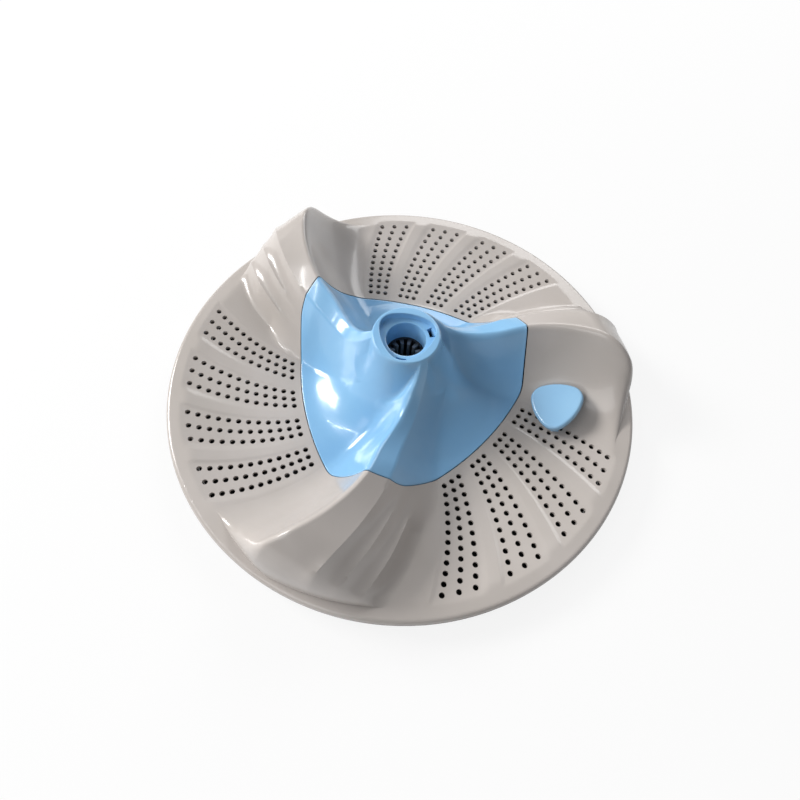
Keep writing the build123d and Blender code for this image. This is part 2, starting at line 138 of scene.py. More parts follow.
def through(stations, place):
    # A smooth curve through pairs of a place and a value
    last = len(stations) - 1
    place = min(max(place, stations[0][0]), stations[last][0])
    n = max(i for i in range(last) if stations[i][0] <= place)
    (x0, y0), (x1, y1) = stations[n], stations[n + 1]

    def slope(i):
        before, after = stations[max(i - 1, 0)], stations[min(i + 1, last)]
        return (after[1] - before[1]) / (after[0] - before[0])

    t = (place - x0) / (x1 - x0)
    ends = y0 * (1 + 2 * t) * (1 - t) ** 2 + y1 * (3 - 2 * t) * t ** 2
    return ends + (x1 - x0) * (slope(n) * t * (1 - t) ** 2 - slope(n + 1) * (1 - t) * t ** 2)


def polar(radius, angle, height=0.0):
    return Vector((radius * cos(radians(angle)), radius * sin(radians(angle)), height)) * mm


def turns(count):
    return [360 * i / count for i in range(count)]


def ringOf(points):
    # Radius, angle and height of each point of one third, set out three times over
    return [polar(r, a + form["pitch"] * third, z) for third in range(3) for r, a, z in points]


def softStep(value, width):
    t = min(max(value / width, 0), 1)
    return t * t * (3 - 2 * t)


def softLeast(a, b, blend):
    near = max(blend - abs(a - b), 0) / blend
    return min(a, b) - near ** 2 * blend / 4


def bowl(radius, low, lowRadius, curve):
    return low + curve - sqrt(curve ** 2 - (radius - lowRadius) ** 2)


def dishTop(radius):
    # The dish runs into the flat rim band in a soft bend
    dish = bowl(radius, form["dishLow"], form["dishLowRadius"], form["dishCurve"])
    return softLeast(dish, form["rimHeight"], form["dishBlend"])


def ground(radius):
    # The surface between the vanes and ridges: the hub's side and the valley, then the dish
    end = form["valleyEnd"]
    return dishTop(radius) if radius >= end else through(form["valley"] + [(end, dishTop(end))], radius)


def roundedTriangle(angle, corner, flat, start, end, blend):
    # Corners at one radius, from start to end, run softly into flatter bows between them
    pitch = form["pitch"]
    half = (start + pitch - end) / 2
    across = corner * sin(radians(half))
    rise = flat - corner * cos(radians(half))
    bow = (across ** 2 + rise ** 2) / (2 * rise)
    turn = radians((angle - (end + half) + pitch / 2) % pitch - pitch / 2)
    behind = bow - flat
    reach = sqrt(bow ** 2 - (behind * sin(turn)) ** 2) - behind * cos(turn)
    return softLeast(corner, reach, blend)


def seamRadius(angle):
    return roundedTriangle(angle, form["seamCorner"], form["seamBow"], form["cornerStart"],
                           form["cornerEnd"], form["seamBlend"])


def section(radius, base):
    # Angle and height pairs across a vane or ridge, from its smooth foot to its stepped foot
    width, offset = through(form["smoothWidth"], radius), through(form["shoulderOffset"], radius)
    crest, top = through(form["crestAngle"], radius), through(form["crestHeight"], radius)
    drop, blend = through(form["shoulderDrop"], radius), through(form["crestRound"], radius)
    # The same shares at every radius keep the crest on the same points, so that it stays smooth
    steps, past = form["bandSteps"], form["pastCrest"]
    beyond = form["bandShare"] * offset / width - past
    pairs = []
    for share in form["climbShares"] + [1 + past + beyond * step / steps for step in range(1, steps + 1)]:
        side = base + form["smoothRise"] * (top - base) * share ** form["smoothPower"]
        band = top - drop * (share - 1) * width / offset
        pairs.append((crest + (share - 1) * width, softLeast(side, band, blend)))
    for share in form["shoulderShares"]:
        pairs.append((crest + offset * share, top - drop * share))
    fluted = min(max((radius - form["fluteStart"]) / (form["fluteFull"] - form["fluteStart"]), 0), 1)
    plainWidth, angle, height = through(form["plainWidth"], radius), crest + offset, top - drop
    foot = plainWidth + (form["fluteFoot"] - plainWidth) * fluted
    edges = [0, form["fluteWidth"], 2 * form["fluteWidth"], foot]
    levels = [height, height - form["fluteDrop"], height - 2 * form["fluteDrop"], base]
    for near, far, high, low in zip(edges, edges[1:], levels, levels[1:]):
        for step in range(1, form["fluteSteps"] + 1):
            share = step / form["fluteSteps"]
            at = near + (far - near) * share
            plain = base + (height - base) * max(1 - at / plainWidth, 0) ** form["plainPower"]
            flute = low + (high - low) * (1 - share) ** form["flutePower"]
            pairs.append((angle + at, plain + (flute - plain) * fluted))
    return pairs


def solvedRow(columnsAt, start, reachAt):
    # Each point's section is taken at its own radius, since the seam isn't round; four rounds settle it
    known = {}
    points = []
    for j in range(len(columnsAt(start))):
        radius = start
        for attempt in range(4):
            key = round(radius, 3)
            if key not in known:
                known[key] = columnsAt(key)
            column = known[key][j]
            radius = reachAt(column[0])
        points.append((radius, *column))
    return points


def added(name, data):
    piece = bpy.data.objects.new(name, data)
    bpy.context.scene.collection.objects.link(piece)
    return piece


def meshPiece(name, bm):
    mesh = bpy.data.meshes.new(name)
    bm.to_mesh(mesh)
    bm.free()
    return added(name, mesh)


def sheetMesh(name, rows, closed=True):
    # A sheet of quads through rows of points, each row closed into a ring
    bm = bmesh.new()
    rings = [[bm.verts.new(point) for point in row] for row in rows]
    for low, high in zip(rings, rings[1:]):
        count = len(low)
        for j in range(count if closed else count - 1):
            after = (j + 1) % count
            bm.faces.new((low[j], high[j], high[after], low[after]))
    bm.normal_update()
    return meshPiece(name, bm)


def pick(piece):
    bpy.ops.object.select_all(action="DESELECT")
    piece.select_set(True)
    bpy.context.view_layer.objects.active = piece


def addModifier(piece, kind, **settings):
    pick(piece)
    modifier = piece.modifiers.new(kind.title(), kind)
    for key, value in settings.items():
        setattr(modifier, key, value)
    bpy.ops.object.modifier_apply(modifier=modifier.name)


def mend(piece, merge=1e-6, outwards=True):
    # Points closer than merge, in metres, become one, and all faces turn outwards
    pick(piece)
    bpy.ops.object.mode_set(mode="EDIT")
    bpy.ops.mesh.select_all(action="SELECT")
    if merge:
        bpy.ops.mesh.remove_doubles(threshold=merge)
    if outwards:
        bpy.ops.mesh.normals_make_consistent(inside=False)
    bpy.ops.object.mode_set(mode="OBJECT")


def closeEnds(piece):
    # Open ends are filled and all faces turned outwards
    pick(piece)
    bpy.ops.object.mode_set(mode="EDIT")
    bpy.ops.mesh.select_all(action="DESELECT")
    bpy.ops.mesh.select_non_manifold()
    bpy.ops.mesh.edge_face_add()
    bpy.ops.mesh.select_all(action="SELECT")
    bpy.ops.mesh.normals_make_consistent(inside=False)
    bpy.ops.object.mode_set(mode="OBJECT")


def smooth(piece, angle):
    # Smooth shading that keeps sharp edges, and keeps broad faces from leaning into narrow ones
    pick(piece)
    bpy.ops.object.shade_smooth_by_angle(angle=radians(angle))
    addModifier(piece, "WEIGHTED_NORMAL", keep_sharp=True)


def joined(name, pieces):
    pick(pieces[0])
    for piece in pieces:
        piece.select_set(True)
    bpy.ops.object.join()
    pieces[0].name = name
    return pieces[0]


def cut(piece, cutter):
    addModifier(piece, "BOOLEAN", operation="DIFFERENCE", object=cutter, solver="MANIFOLD")
    bpy.data.objects.remove(cutter)


def settle(piece, node, finish):
    piece.data.materials.clear()
    piece.data.materials.append(finish.material)
    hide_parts(node)
    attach(piece, "root")


# The glossy moulding of the disc, the cover and the cap
moulding = {
    "coat": 0.3, "coatRoughness": 0.06, "refraction": 1.5, "cloudScale": 14, "cloudRange": (0.35, 0.65),
    "scuffScale": 900, "scuff": 0.04, "rippleScale": 60, "ripple": 0.05, "rippleDepth": 2.0,
}


def mouldedPlastic(name, piece):
    # Faint flow marks in the colour, soft ripples and fine scuffs in the gloss
    finish = Finish(name)
    tone = finish.spread(finish.noise(moulding["cloudScale"], 4), *moulding["cloudRange"])
    scuff = finish.noise(moulding["scuffScale"], 2)
    bumps = finish.node("ShaderNodeBump", {}, {
        "Height": finish.noise(moulding["rippleScale"], 2), "Strength": moulding["ripple"],
        "Distance": moulding["rippleDepth"] * mm})
    return finish.set(
        Base_Color=finish.mix(tone, linear(*piece["colour"]), linear(*piece["flowColour"])),
        Roughness=piece["roughness"] + moulding["scuff"] * (scuff - 0.5), Normal=bumps,
        IOR=moulding["refraction"], Coat_Weight=moulding["coat"], Coat_Roughness=moulding["coatRoughness"])


# The disc
disc = {
    "colour": (192, 185, 180), "flowColour": (184, 177, 171), "roughness": 0.22,
    "panels": 4, "panelPitch": 16.68, "firstPanel": 96.85, "swirl": 0.145, "rowPitch": 3.97,
    "holeRows": (1, 0, -1), "rowHoles": 12, "rowEnd": 168.8, "rowGap": 7.1,
    "holeRadius": 2.0, "holeSides": 20, "holeLifts": (-6, 4),
    "troughLow": 9.55, "troughLowRadius": 70.1, "troughCurve": 467.0, "troughEnd": 176.8, "endSoft": 1.4,
    "troughCorner": 2.8, "cornerPower": 6, "troughBefore": 6.8, "troughAfter": 7.4,
    "crispEdge": 1.5, "crispShares": (0, 0.25, 0.5, 0.75, 1), "flatSteps": 7,
    "softEdge": 2.6, "softShares": (1, 0.8, 0.6, 0.4, 0.2, 0), "footGap": 0.6, "gapShares": (0.33, 0.67),
    "noseTip": 3.0, "noseBefore": -14.0, "noseAfter": 31.0, "fallBefore": 0.5, "fallAfter": 0.2,
    "noseBlend": 12.0, "noseSquare": 0.2, "squareBefore": 3.0, "squareBlend": 4.0,
    "innerRows": 36, "noseRows": 26, "bandRows": 3, "rimRows": 8, "lipShares": (0.75, 1.0),
    "smoothAngle": 32,
}

# Start, middle and end line of each trough of one third; a line is given by its angle at the outer holes
troughLines = []
for panel in range(disc["panels"]):
    middle = disc["firstPanel"] - disc["panelPitch"] * panel
    troughLines.append((middle - disc["troughBefore"], middle, middle + disc["troughAfter"]))

# The swirl lines that the points follow, from one vane's stepped foot to the next one's smooth foot
swirlLines = []
for start, middle, end in reversed(troughLines):
    flat = end - disc["softEdge"] - start - disc["crispEdge"]
    swirlLines += [start + disc["crispEdge"] * share for share in disc["crispShares"]]
    swirlLines += [start + disc["crispEdge"] + flat * step / disc["flatSteps"]
                   for step in range(1, disc["flatSteps"])]
    swirlLines += [end - disc["softEdge"] * share for share in disc["softShares"]]


def lineAngle(line, radius):
    return line + disc["swirl"] * (disc["rowEnd"] - radius)


def troughDepth(line, radius):
    # How far the skin lies under the dish on a swirl line at a radius
    depth = dishTop(radius) - bowl(radius, disc["troughLow"], disc["troughLowRadius"], disc["troughCurve"])
    for start, middle, end in troughLines:
        if start <= line <= end:
            across = softStep(line - start, disc["crispEdge"]) * softStep(end - line, disc["softEdge"])
            bend = disc["troughCorner"] * abs((line - middle) / disc["troughAfter"]) ** disc["cornerPower"]
            return max(depth, 0) * across * softStep(disc["troughEnd"] - bend - radius, disc["endSoft"])
    return 0.0


def discColumns(radius):
    # Angle, rise over the dish and swirl line of each point of one third; a vane's points have no line
    base = ground(radius)
    vane = section(radius, base)
    first, last = lineAngle(swirlLines[0], radius), lineAngle(swirlLines[-1], radius)
    foot, nextFoot = vane[-1][0], vane[0][0] + form["pitch"]
    limit, anchor = first - disc["footGap"], vane[-4][0]
    columns = [(angle, height - base, None) for angle, height in vane]
    if foot > limit:
        # The last points of the stepped foot draw in, clear of the first trough
        for i in (-3, -2, -1):
            drawnIn = anchor + (vane[i][0] - anchor) * ((limit - anchor) / (foot - anchor))
            columns[i] = (drawnIn, columns[i][1], None)
        foot = limit
    columns += [(foot + (first - foot) * share, 0.0, None) for share in disc["gapShares"]]
    columns += [(lineAngle(line, radius), 0.0, line) for line in swirlLines]
    columns += [(last + (nextFoot - last) * share, 0.0, None) for share in disc["gapShares"]]
    return columns


def discRing(points):
    # One ring of the skin from the radius, angle, rise and swirl line of each point of one third
    heights = []
    for radius, angle, rise, line in points:
        drop = troughDepth(line, radius) if line is not None else 0.0
        heights.append((radius, angle, ground(radius) + rise - drop))
    return ringOf(heights)


def innerRow(share):
    # A share of the way out from the seam to where the nose starts
    start = form["noseStart"]

    def reachAt(angle):
        seam = seamRadius(angle)
        return seam + (start - seam) * share

    return discRing(solvedRow(discColumns, start, reachAt))


def noseReach(angle):
    # How far out the nose of a vane comes; the dish between two vanes follows in the same rows
    full, tip, blend = form["noseReach"], disc["noseTip"], disc["noseBlend"]
    before, after = disc["noseBefore"], disc["noseAfter"]
    angle = (angle + form["pitch"] / 4) % form["pitch"] - form["pitch"] / 4
    if angle > after:
        return full - disc["fallAfter"] * (after - tip) * (1 - softStep(angle - after, blend))
    if angle < before:
        return full - disc["fallBefore"] * (tip - before) * softStep(angle - before + blend, blend)
    return full - disc["fallAfter"] * max(angle - tip, 0) - disc["fallBefore"] * max(tip - angle, 0)


def noseRow(turn):
    # Over the nose, which runs down to the dish like a quarter round
    start, out = form["noseStart"], sin(radians(turn))
    typical = start + (form["noseReach"] - start) * out
    shoulder = through(form["crestAngle"], typical) + through(form["shoulderOffset"], typical)
    points = []
    for angle, rise, line in discColumns(typical):
        # The stepped side keeps its height further out than the round one
        stepped = softStep(angle - shoulder + disc["squareBefore"], disc["squareBlend"])
        rise *= cos(radians(turn)) ** (1 - disc["noseSquare"] * stepped)
        points.append((start + (noseReach(angle) - start) * out, angle, rise, line))
    return discRing(points)


def bandRow(share):
    # A share of the way from the nose to the round of the rim
    rim = form["discRadius"] - form["rimRound"]
    points = []
    for angle, rise, line in discColumns(rim):
        inner = noseReach(angle)
        points.append((inner + (rim - inner) * share, angle, 0.0, line))
    return discRing(points)


def rimRows():
    # The edge of the flat band, the round of the rim and the short lip
    edge, top, bend = form["discRadius"], form["rimHeight"], form["rimRound"]
    profile = [(edge - bend, top)]
    for i in range(1, disc["rimRows"] + 1):
        turn = radians(90 * i / disc["rimRows"])
        profile.append((edge - bend + bend * sin(turn), top - bend + bend * cos(turn)))
    profile += [(edge, top - form["lipDepth"] * share) for share in disc["lipShares"]]
    angles = [angle for angle, rise, line in discColumns(form["noseReach"])]
    return [ringOf([(radius, angle, height) for angle in angles]) for radius, height in profile]


def makeDiscSkin():
    inner, nose, band = disc["innerRows"], disc["noseRows"], disc["bandRows"]
    rows = [innerRow(i / inner) for i in range(inner + 1)]
    rows += [noseRow(90 * i / nose) for i in range(1, nose + 1)]
    rows += [bandRow(i / band) for i in range(1, band)]
    skin = sheetMesh("discSkin", rows + rimRows())
    addModifier(skin, "SOLIDIFY", thickness=form["plateWall"] * mm, offset=-1)
    return skin


def holePlaces():
    # Radius and angle of each hole, in rows that follow the swirl and end a gap away from the seam
    for third in range(3):
        for start, middle, end in troughLines:
            for row in disc["holeRows"]:
                line = middle + disc["rowPitch"] * row
                inner = seamRadius(lineAngle(line, seamRadius(line))) + disc["rowGap"]
                for i in range(disc["rowHoles"]):
                    radius = disc["rowEnd"] + (inner - disc["rowEnd"]) * i / (disc["rowHoles"] - 1)
                    yield radius, lineAngle(line, radius) + form["pitch"] * third


def makeHoles():
    # Every drain hole as one cutter
    bm = bmesh.new()
    sides = disc["holeSides"]
    for radius, angle in holePlaces():
        middle = polar(radius, angle, ground(radius))
        low, high = [[bm.verts.new(middle + polar(disc["holeRadius"], turn, lift)) for turn in turns(sides)]
                     for lift in disc["holeLifts"]]
        bm.faces.new(list(reversed(low)))
        bm.faces.new(high)
        for i in range(sides):
            after = (i + 1) % sides
            bm.faces.new((low[i], low[after], high[after], high[i]))
    return meshPiece("holeCutters", bm)


# What the disc has underneath: the ring rib it stands on, the well for the cover, the hub and the ribs
under = {
    "ringRadius": 174.5, "wall": 2.4, "wellFloor": 4.5, "wellWall": 2.2, "wellTuck": 0.6, "plateTuck": 0.6,
    "hubRadius": 19.5, "hubLow": 1.5, "hubTop": 55.0, "seatRadius": 15.5, "seatLow": 22.0,
    "socketRadius": 14.0, "overlap": 1.0, "ribLow": 3.0, "ribSteps": 8, "swirlRibWall": 2.0,
    "floorRibTop": 5.3, "floorRibMiddle": 51.1, "floorRibPast": 2.0, "segments": 192, "hubSegments": 96,
}


def insidePlate(radius):
    return ground(radius) - form["plateWall"] * under["plateTuck"]


def lathe(name, profile, segments):
    # A closed profile turned about the axis
    rows = [[polar(r, a, z) for a in turns(segments)] for r, z in profile + profile[:1]]
    piece = sheetMesh(name, rows)
    mend(piece)
    return piece


def makeRingRib():
    outer, top = under["ringRadius"], insidePlate(under["ringRadius"])
    inner = outer - under["wall"]
    return lathe("ringRib", [(inner, 0), (outer, 0), (outer, top), (inner, top)], under["segments"])


def makeHub():
    # The boss, with the socket for the drive insert and the seat above it
    seat, socket, hub = under["seatRadius"], under["socketRadius"], under["hubRadius"]
    low, seatLow, top = under["hubLow"], under["seatLow"], under["hubTop"]
    profile = [(socket, low), (hub, low), (hub, top), (seat, top), (seat, seatLow), (socket, seatLow)]
    return lathe("hub", profile, under["hubSegments"])


def makeWell():
    # The wall along the seam and the floor inside it, which ends in the hub
    top, low, wall = form["dishLow"] - under["wellTuck"], under["wellFloor"], under["wellWall"]
    hole = under["hubRadius"] - under["overlap"]
    profile = [(wall, top), (wall, low), (None, low), (None, low + wall), (0, low + wall), (0, top)]
    rows = []
    for grow, height in profile + profile[:1]:
        rows.append([polar(hole if grow is None else seamRadius(a) + grow, a, height)
                     for a in turns(under["segments"])])
    piece = sheetMesh("wellWall", rows)
    mend(piece)
    return piece


def makeRib(name, places, tops, width):
    # An upright rib along places of a radius and an angle, its top following the heights given
    route = [polar(radius, angle) / mm for radius, angle in places]
    lows = [under["ribLow"]] * len(route)
    rows = []
    for side, heights in ((-1, lows), (1, lows), (1, tops), (-1, tops), (-1, lows)):
        row = []
        for i, point in enumerate(route):
            before, after = route[max(i - 1, 0)], route[min(i + 1, len(route) - 1)]
            x, y = after.x - before.x, after.y - before.y
            length = hypot(x, y)
            row.append(Vector((point.x - side * y / length * width / 2,
                               point.y + side * x / length * width / 2, heights[i])) * mm)
        rows.append(row)
    piece = sheetMesh(name, rows, closed=False)
    mend(piece, outwards=False)
    closeEnds(piece)
    return piece


def makeRibs():
    # Between two troughs one rib follows the swirl from the seam out, and one crosses the well's floor
    outer, inner, steps = under["ringRadius"] - under["wall"] / 2, form["seamBow"], under["ribSteps"]
    radii = [inner + (outer - inner) * i / steps for i in range(steps + 1)]
    tops = [insidePlate(radius) for radius in radii]
    floorRadii = [under["hubRadius"] - under["overlap"], under["floorRibMiddle"],
                  inner + under["floorRibPast"]]
    floorTops = [under["floorRibTop"]] * len(floorRadii)
    ribs = []
    for third in range(3):
        for i in range(disc["panels"] - 1):
            line = disc["firstPanel"] - disc["panelPitch"] * (i + 0.5) + form["pitch"] * third
            places = [(radius, lineAngle(line, radius)) for radius in radii]
            ribs.append(makeRib("swirlRib", places, tops, under["swirlRibWall"]))
            places = [(radius, lineAngle(line, inner)) for radius in floorRadii]
            ribs.append(makeRib("floorRib", places, floorTops, under["wall"]))
    return ribs


def makeDisc():
    skin = makeDiscSkin()
    print("disc skin", len(skin.data.polygons))
    cut(skin, makeHoles())
    print("disc holes", len(skin.data.polygons))
    piece = joined("swirlDisc", [skin, makeRingRib(), makeHub(), makeWell()] + makeRibs())
    smooth(piece, disc["smoothAngle"])
    return piece


# The centre cover
cover = {
    "colour": (140, 190, 228), "flowColour": (128, 181, 224), "roughness": 0.2,
    "skin": 0.7, "lobe": 21.8, "flat": 18.2, "lobeAngle": 23.0, "lobeHalf": 12.0, "lobeBlend": 1.6,
    "access": 14.45, "tubeLow": 55.3, "tubeRows": 6, "tubeRound": 0.6, "roundOut": 0.2, "roundDown": 0.15,
    "ledge": 73.3, "ledgeStart": 0.4, "ledgeShares": (0.08, 0.34, 0.84, 0.97), "ledgeRise": 0.3,
    "recessRound": 0.7, "recessRows": 4,
    "slotLobes": (0, 2), "slotDeep": 6.0, "slotHalf": 11.0, "slotInner": 17.0, "slotOuter": 21.0,
    "hubBlend": 7.0, "leastBlend": 0.01, "footBlend": 6.0, "lipBlend": 8.0,
    "valleyColumns": 22, "skinRows": 64, "rowCrowding": 1.25,
    "edgeRound": 0.7, "edgeShare": 0.3, "edgeDeep": 3.0, "edgeLow": 7.0, "smoothAngle": 40,
}


def lobedRadius(angle):
    # The rounded triangle of the recess and the cap, with a lobe at 0 degrees
    half = cover["lobeHalf"]
    return roundedTriangle(angle, cover["lobe"], cover["flat"], -half, half, cover["lobeBlend"])


def recessRadius(angle):
    return lobedRadius(angle - cover["lobeAngle"])


def coverColumns(radius):
    # Angle and height of each point of one third; near the hub the ridge grows out of its side
    valley, end = ground(radius), form["hubFoot"] + cover["footBlend"]
    fromFoot = softStep(end - radius, 2 * cover["footBlend"])
    fromLip = softStep(radius - form["hubFlat"], cover["lipBlend"])
    blend = cover["leastBlend"] + cover["hubBlend"] * fromFoot * fromLip
    ridge = section(radius, ground(max(radius, form["hubFoot"])))
    columns = []
    for angle, height in ridge:
        grown = height if radius > end else -softLeast(-height, -valley, blend)
        columns.append((angle, min(grown, form["hubHeight"])))
    first, last, count = ridge[-1][0], ridge[0][0] + form["pitch"], cover["valleyColumns"]
    return columns + [(first + (last - first) * i / (count + 1), valley) for i in range(1, count + 1)]


def coverRow(share):
    # A share of the way out from the hub's lip to the seam
    start = form["hubFlat"]

    def reachAt(angle):
        return start + (seamRadius(angle) - form["seamGap"] - start) * share

    return solvedRow(coverColumns, start + (form["seamBow"] - start) * share, reachAt)


def hubRows(angles):
    # From the bottom of the access tube up over the ledge and the recess wall to the hub's lip
    access, low, ledge, top = cover["access"], cover["tubeLow"], cover["ledge"], form["hubHeight"]
    tubeTop, count = ledge - cover["tubeRound"], cover["tubeRows"]
    rows = [[(access, a, low + (tubeTop - low) * i / count) for a in angles] for i in range(count + 1)]
    rows.append([(access + cover["roundOut"], a, ledge - cover["roundDown"]) for a in angles])
    inner = access + cover["ledgeStart"]
    for share in cover["ledgeShares"]:
        rows.append([(inner + (recessRadius(a) - inner) * share, a, ledge) for a in angles])
    for height in (ledge + cover["ledgeRise"], (ledge + top) / 2):
        rows.append([(recessRadius(a), a, height) for a in angles])
    bend = cover["recessRound"]
    for i in range(cover["recessRows"] + 1):
        turn = radians(90 * i / cover["recessRows"])
        out, height = bend * (1 - cos(turn)), top - bend + bend * sin(turn)
        rows.append([(recessRadius(a) + out, a, height) for a in angles])
    return rows


def sinkSlots(piece):
    # Two clip slots through the ledge, with walls pressed down from its faces
    pick(piece)
    bpy.ops.object.mode_set(mode="EDIT")
    bm = bmesh.from_edit_mesh(piece.data)
    chosen = []
    for face in bm.faces:
        middle = face.calc_center_median() / mm
        radius, angle = hypot(middle.x, middle.y), degrees(atan2(middle.y, middle.x))
        onLedge = abs(middle.z - cover["ledge"]) <= 0.01
        if not onLedge or not cover["slotInner"] < radius < cover["slotOuter"]:
            continue
        for lobe in cover["slotLobes"]:
            off = (angle - cover["lobeAngle"] - form["pitch"] * lobe + 180) % 360 - 180
            if abs(off) < cover["slotHalf"]:
                chosen.append(face)
    made = bmesh.ops.extrude_face_region(bm, geom=chosen)
    moved = [v for v in made["geom"] if isinstance(v, bmesh.types.BMVert)]
    bmesh.ops.translate(bm, verts=moved, vec=(0, 0, -cover["slotDeep"] * mm))
    floors = [f for f in made["geom"] if isinstance(f, bmesh.types.BMFace)]
    bmesh.ops.delete(bm, geom=chosen + floors, context="FACES")
    bmesh.update_edit_mesh(piece.data)
    bpy.ops.object.mode_set(mode="OBJECT")


def makeCover():
    count = cover["skinRows"]
    skinRows = [coverRow((i / count) ** cover["rowCrowding"]) for i in range(1, count + 1)]
    angles = [a for r, a, z in coverRow(0.0)]
    lip = [(form["hubFlat"], a, form["hubHeight"]) for a in angles]
    rows = hubRows(angles) + [lip] + skinRows[:-1]
    # The last row is the seam: its edge is rounded over and turned down
    edge, bend, bevel = skinRows[-1], cover["edgeRound"], cover["edgeRound"] * cover["edgeShare"]
    rows.append([(r - bend, a, z) for r, a, z in edge])
    rows.append([(r - bevel, a, z - bevel) for r, a, z in edge])
    rows.append([(r, a, z - bend) for r, a, z in edge])
    rows.append([(r, a, max(z - cover["edgeDeep"], cover["edgeLow"])) for r, a, z in edge])
    piece = sheetMesh("coverSkin", [ringOf(row) for row in rows])
    sinkSlots(piece)
    mend(piece, merge=0)
    addModifier(piece, "SOLIDIFY", thickness=cover["skin"] * mm, offset=-1)
    smooth(piece, cover["smoothAngle"])
    return piece


# The loose cap, drawn on the plane that it rests on
cap = {
    "colour": (156, 200, 230), "flowColour": (146, 192, 227), "roughness": 0.2,
    "place": (122.5912, -16.0908, 22.6973), "along": (0.850341, 0.34356, 0.398605),
    "up": (-0.420509, -0.011767, 0.907212), "gap": 0.35, "height": 5.0, "wall": 2.0, "roofOut": 1.0,
    "roofDown": 0.6, "footRound": 0.3, "edge": 2.2, "edgeRows": 8, "crown": 0.5, "crownInset": 18.0,
    "crownShares": (0.2, 0.4, 0.6, 0.8, 0.93), "middle": 30.0, "middleRadius": 0.01, "points": 120,
    "legRadius": 19.55, "legLength": 5.5, "legWidth": 6.0, "legWall": 1.6, "legTuck": 0.2,
    "legRound": 0.25, "hookShare": 0.2, "hookRise": 1.4, "poleMerge": 0.03, "smoothAngle": 35,
}


def onCapPlane(points):
    along, up = Vector(cap["along"]), Vector(cap["up"])
    across = up.cross(along)
    place = Vector(cap["place"])
    return [(place + along * x + across * y + up * z) * mm for x, y, z in points]


def capRing(inset, height):
    # A ring inside the cap's outline; an inset as large as the middle's closes to a point
    points = []
    for angle in turns(cap["points"]):
        radius = max(lobedRadius(angle) - cap["gap"] - inset, cap["middleRadius"])
        points.append((radius * cos(radians(angle)), radius * sin(radians(angle)), height))
    return onCapPlane(points)


def makeCapLeg(turn):
    # A clip leg with a small hook at its foot
    out, wall, half = cap["legRadius"], cap["legWall"] / 2, cap["legWidth"] / 2
    low, top = -cap["legLength"], cap["height"] - cap["wall"] + cap["legTuck"]
    profile = [(out - wall, top), (out - wall, low), (out + wall * cap["hookShare"], low),
               (out + wall, low + cap["hookRise"]), (out + wall, top)]
    angle = radians(turn)
    rows = []
    for side in (-half, half):
        rows.append(onCapPlane([(x * cos(angle) - side * sin(angle), x * sin(angle) + side * cos(angle), z)
                                for x, z in profile]))
    leg = sheetMesh("capLeg", rows)
    closeEnds(leg)
    addModifier(leg, "BEVEL", width=cap["legRound"] * mm, segments=2)
    return leg


def makeCap():
    height, edge, crown, wall = cap["height"], cap["edge"], cap["crown"], cap["wall"]
    roof, foot, middle = height - wall, cap["footRound"], cap["middle"]
    # Inside across the roof and down the wall, round the foot, then up the outside and over the crown
    rows = [capRing(middle, roof), capRing(wall + cap["roofOut"], roof)]
    rows += [capRing(wall, roof - cap["roofDown"]), capRing(wall, foot)]
    rows += [capRing(wall - foot, 0), capRing(foot, 0), capRing(0, foot)]
    for i in range(cap["edgeRows"] + 1):
        turn = radians(90 * i / cap["edgeRows"])
        rows.append(capRing(edge * (1 - cos(turn)), height - crown - edge + edge * sin(turn)))
    for share in cap["crownShares"]:
        rows.append(capRing(edge + (cap["crownInset"] - edge) * share, height - crown * (1 - share) ** 2))
    rows.append(capRing(middle, height))
    top = sheetMesh("capTop", rows)
    mend(top, merge=cap["poleMerge"] * mm, outwards=False)
    closeEnds(top)
    piece = joined("looseCap", [top] + [makeCapLeg(form["pitch"] * lobe) for lobe in cover["slotLobes"]])
    smooth(piece, cap["smoothAngle"])
    return piece


# Pieces whose solid already has the right form: a merged copy takes smooth shading and its finish
def copyOf(node, name, angle):
    piece = added(name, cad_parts[node].data.copy())
    mend(piece, outwards=False)
    smooth(piece, angle)
    return piece


insert = {
    "smoothAngle": 25, "grainScale": 400, "roughness": 0.3, "roughGrain": 0.2,
    "wornOut": 12.5, "wornIn": 9.5, "pale": ((150, 150, 152), (95, 95, 98)),
    "dark": ((30, 31, 34), (48, 49, 52)),
}


def insertFinish():
    # Dark moulding, with the teeth worn pale towards the bore
    finish = Finish("insertDark")
    x = finish.node("ShaderNodeSeparateXYZ", {}, {"Vector": finish.place()}, output="X")
    y = x.other("Y")
    worn = finish.spread((x * x + y * y) ** 0.5, insert["wornOut"] * mm, insert["wornIn"] * mm)
    grain = finish.noise(insert["grainScale"], 3)
    pale = finish.mix(grain, linear(*insert["pale"][0]), linear(*insert["pale"][1]))
    dark = finish.mix(grain, linear(*insert["dark"][0]), linear(*insert["dark"][1]))
    return finish.set(Base_Color=finish.mix(worn, dark, pale),
                      Roughness=insert["roughness"] + insert["roughGrain"] * grain)


screws = {
    "smoothAngle": 30, "grainScale": 700, "roughness": 0.25, "roughGrain": 0.2,
    "steel": ((150, 150, 150), (185, 185, 182)),
}


def steelFinish():
    finish = Finish("screwSteel")
    grain = finish.noise(screws["grainScale"], 3)
    steel = finish.mix(grain, linear(*screws["steel"][0]), linear(*screws["steel"][1]))
    return finish.set(Base_Color=steel, Metallic=1.0,
                      Roughness=screws["roughness"] + screws["roughGrain"] * grain)


# The floor and the world, in metres
stage = {
    "floorSize": 6.0, "floorColour": (235, 235, 235), "floorRoughness": 0.9, "white": 0.86,
    # Painted shadow: inside this radius the floor is coloured dark and does not glow
    "paintedShadowColour": (40, 40, 42), "paintedShadowRadius": 0.172,
    "worldColour": (0.92, 0.95, 1.0, 1), "worldStrength": 0.21,
}


